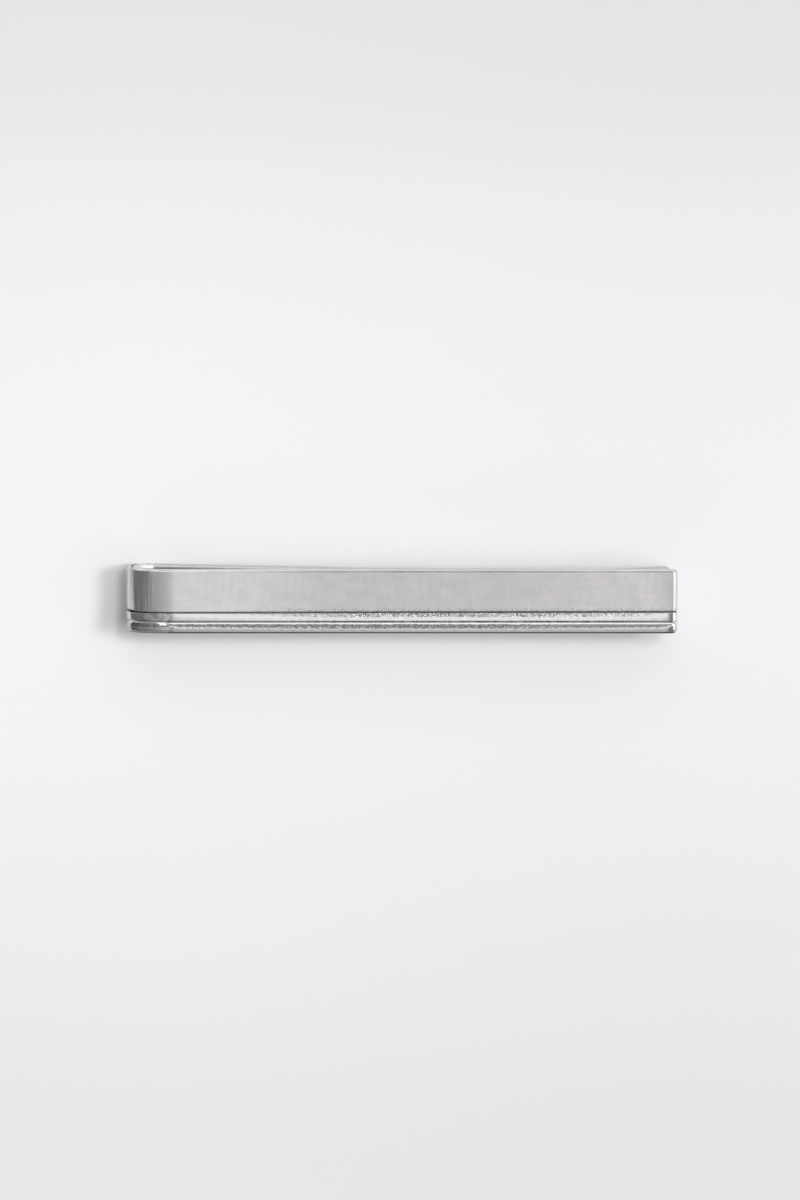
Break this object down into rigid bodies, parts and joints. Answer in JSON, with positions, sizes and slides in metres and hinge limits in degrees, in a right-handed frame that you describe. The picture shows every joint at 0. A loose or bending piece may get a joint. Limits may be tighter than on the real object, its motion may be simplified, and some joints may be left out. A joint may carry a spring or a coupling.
{
  "type": "tie bar",
  "caption": "Slide-on tie bar: a folded metal strip with a satin face, polished rails along one edge and a flared spring leaf behind that grips the cloth.",
  "frame": {"origin": "below the middle of the bar, on the surface that it lies on when it rests on its leaf, face up", "axes": "+X along the bar from the fold to the open end, +Y towards the plain long edge, +Z out of the face"},
  "size_m": [0.055, 0.0064, 0.0042],
  "materials": {
    "backing": "polished silver-coloured plating, lightly tumbled",
    "satin_face": "fine satin, neutral silver",
    "polished_rails": "bright polish",
    "leaf": "lightly brushed along its length"
  },
  "bodies": {
    "leaf": {"spring_leaf": "leaf"},
    "bar": {"folded_backing": "backing", "satin_face_strip": "satin_face", "flat_rail": "polished_rails", "bead_rail": "polished_rails"}
  },
  "joints": [
    {"name": "leaf_flex", "type": "hinge", "parent": "leaf", "child": "bar", "pos_m": [-0.02467, 0, 0.00055], "axis": [0, -1, 0], "range_deg": [0, 6], "stiffness_Nm_per_rad": 0.6, "springref_deg": -1.72}
  ]
}
